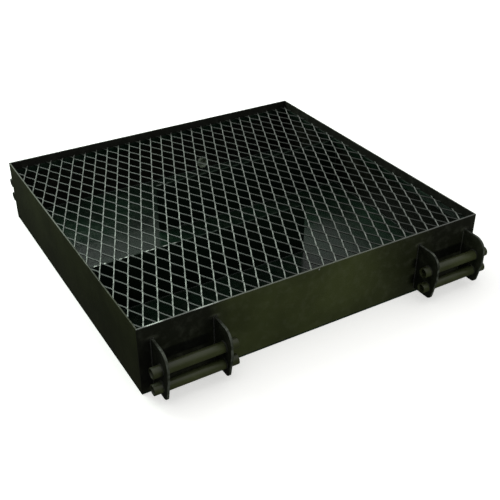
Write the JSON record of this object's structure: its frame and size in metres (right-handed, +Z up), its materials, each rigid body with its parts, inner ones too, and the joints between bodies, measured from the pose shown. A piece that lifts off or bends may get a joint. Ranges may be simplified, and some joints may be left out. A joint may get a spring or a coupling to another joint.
{
  "type": "spill containment pallet",
  "caption": "Low welded steel sump tray with a lift-out expanded-metal deck, staggered support plates, and lug brackets with open coupling tubes at front and back.",
  "frame": {"origin": "middle of the tray's flat underside, on the surface it stands on", "axes": "+X to the right along the front wall, +Y from the front wall to the back wall, +Z up out of the sump"},
  "size_m": [1.219, 1.362, 0.228],
  "materials": {
    "tray_paint": "semi-gloss black-green enamel on steel plate, worn at the rim",
    "drain_paint": "semi-gloss black-green enamel",
    "zinc": "zinc plated",
    "lug_paint": "semi-gloss black-green enamel, flame-cut edges",
    "tube_paint": "semi-gloss black-green enamel",
    "mesh_paint": "thin worn enamel on expanded steel mesh"
  },
  "bodies": {
    "tray": {"floor_plate": "tray_paint", "front_wall": "tray_paint", "back_wall": "tray_paint", "left_wall": "tray_paint", "right_wall": "tray_paint", "front_ledge": "tray_paint", "back_ledge": "tray_paint", "left_ledge": "tray_paint", "right_ledge": "tray_paint", "front_support_plate": "tray_paint", "back_support_plate": "tray_paint", "drain_coupling": "drain_paint", "drain_plug": "zinc", "front_left_inner_lug": "lug_paint", "front_left_outer_lug": "lug_paint", "front_right_inner_lug": "lug_paint", "front_right_outer_lug": "lug_paint", "back_left_inner_lug": "lug_paint", "back_left_outer_lug": "lug_paint", "back_right_inner_lug": "lug_paint", "back_right_outer_lug": "lug_paint", "front_left_upper_tube": "tube_paint", "front_left_lower_tube": "tube_paint", "front_right_upper_tube": "tube_paint", "front_right_lower_tube": "tube_paint", "back_left_upper_tube": "tube_paint", "back_left_lower_tube": "tube_paint", "back_right_upper_tube": "tube_paint", "back_right_lower_tube": "tube_paint"},
    "deck": {"mesh_deck": "mesh_paint"}
  },
  "joints": [
    {"name": "deck_lift", "type": "slide", "parent": "tray", "child": "deck", "axis": [0, 0, 1], "range_m": [0, 0.25]}
  ]
}
